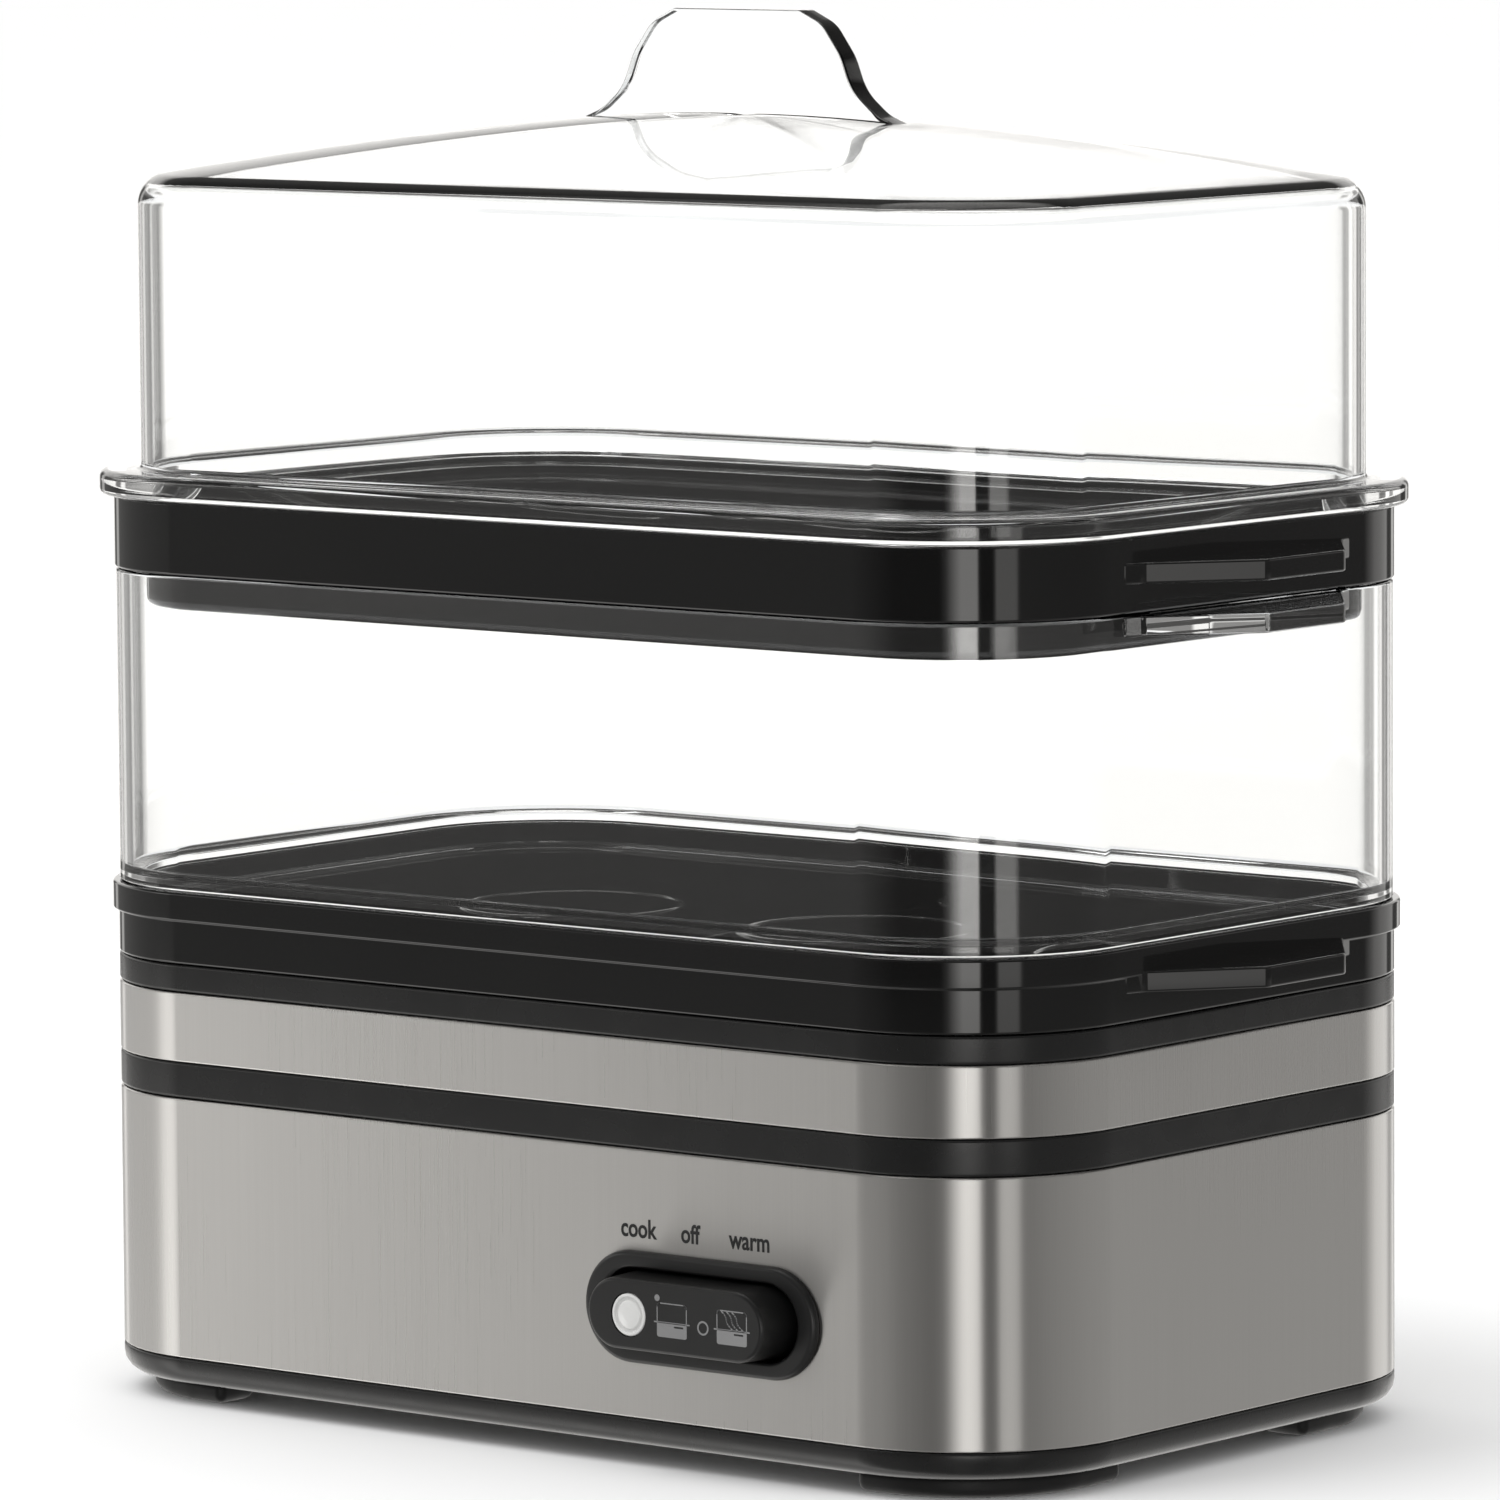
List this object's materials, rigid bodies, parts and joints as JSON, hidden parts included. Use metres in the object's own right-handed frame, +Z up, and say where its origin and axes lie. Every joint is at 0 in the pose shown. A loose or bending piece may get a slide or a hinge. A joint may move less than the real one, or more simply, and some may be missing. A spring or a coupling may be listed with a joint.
{
  "type": "egg cooker",
  "caption": "Two-tier electric egg cooker: steel-clad heated base with a rocker switch, stacked black egg trays, clear collar and clear lid with a moulded grip fin.",
  "frame": {"origin": "on the table under the middle of the object's footprint", "axes": "+Z up, +X to the right along the front, front face with the switch towards -Y"},
  "size_m": [0.2132, 0.1308, 0.2163],
  "materials": {
    "brushed_steel": "fine upright brushing, soft sheen",
    "satin_black_plastic": "satin moulded",
    "gloss_black_plastic": "high gloss",
    "clear_plastic": "clear and polished",
    "non_stick_coating": "satin non-stick coating with fine fleck",
    "silicone_seal": "matt",
    "aluminium": "mill finish",
    "element_sheath": "heat-darkened sheath",
    "ceramic": "matt cream",
    "zinc_screw": "zinc plated",
    "switch_black_plastic": "satin, fine moulded grain",
    "indicator_lens": "pearl white, faintly translucent",
    "switch_body_resin": "matt phenolic",
    "brass": "bright",
    "rubber": "matt",
    "red_insulation": "satin",
    "blue_insulation": "satin",
    "white_insulation": "satin glass-fibre sleeve"
  },
  "bodies": {
    "base": {"bottom_cover": "satin_black_plastic", "lower_steel_shell": "brushed_steel", "middle_trim_ring": "satin_black_plastic", "upper_steel_band": "brushed_steel", "top_trim_ring": "satin_black_plastic", "inner_housing": "satin_black_plastic", "heating_plate": "non_stick_coating", "plate_seal": "silicone_seal", "heat_spreader": "aluminium", "heating_element": "element_sheath", "thermostat": "ceramic", "thermostat_bracket": "aluminium", "thermal_fuse": "ceramic", "bracket_screw_front": "zinc_screw", "bracket_screw_rear": "zinc_screw", "switch_bezel": "switch_black_plastic", "switch_pivot_pin": "zinc_screw", "switch_body": "switch_body_resin", "switch_terminal_cook": "brass", "switch_terminal_common": "brass", "switch_terminal_warm": "brass", "cord_gland": "rubber", "terminal_block": "ceramic", "live_lead": "red_insulation", "neutral_lead": "blue_insulation", "cook_lead": "red_insulation", "thermostat_lead": "white_insulation", "fuse_lead": "white_insulation", "foot_front_left": "rubber", "cover_screw_front_left": "zinc_screw", "foot_front_right": "rubber", "cover_screw_front_right": "zinc_screw", "foot_rear_left": "rubber", "cover_screw_rear_left": "zinc_screw", "foot_rear_right": "rubber", "cover_screw_rear_right": "zinc_screw"},
    "rocker": {"switch_rocker": "switch_black_plastic", "indicator_lens": "indicator_lens", "indicator_lamp": "indicator_lens"},
    "lower_tray": {"lower_tray": "gloss_black_plastic"},
    "collar": {"collar": "clear_plastic"},
    "upper_tray": {"upper_tray": "gloss_black_plastic"},
    "lid": {"lid": "clear_plastic"}
  },
  "joints": [
    {"name": "rocker_tilt", "type": "hinge", "parent": "base", "child": "rocker", "pos_m": [0.038, -0.054, 0.0246], "axis": [0, 0, 1], "range_deg": [-8, 8]},
    {"name": "lower_tray_lift", "type": "slide", "parent": "base", "child": "lower_tray", "axis": [0, 0, 1], "range_m": [0, 0.06]},
    {"name": "collar_lift", "type": "slide", "parent": "lower_tray", "child": "collar", "axis": [0, 0, 1], "range_m": [0, 0.08]},
    {"name": "upper_tray_lift", "type": "slide", "parent": "collar", "child": "upper_tray", "axis": [0, 0, 1], "range_m": [0, 0.08]},
    {"name": "lid_lift", "type": "slide", "parent": "upper_tray", "child": "lid", "axis": [0, 0, 1], "range_m": [0, 0.1]}
  ]
}
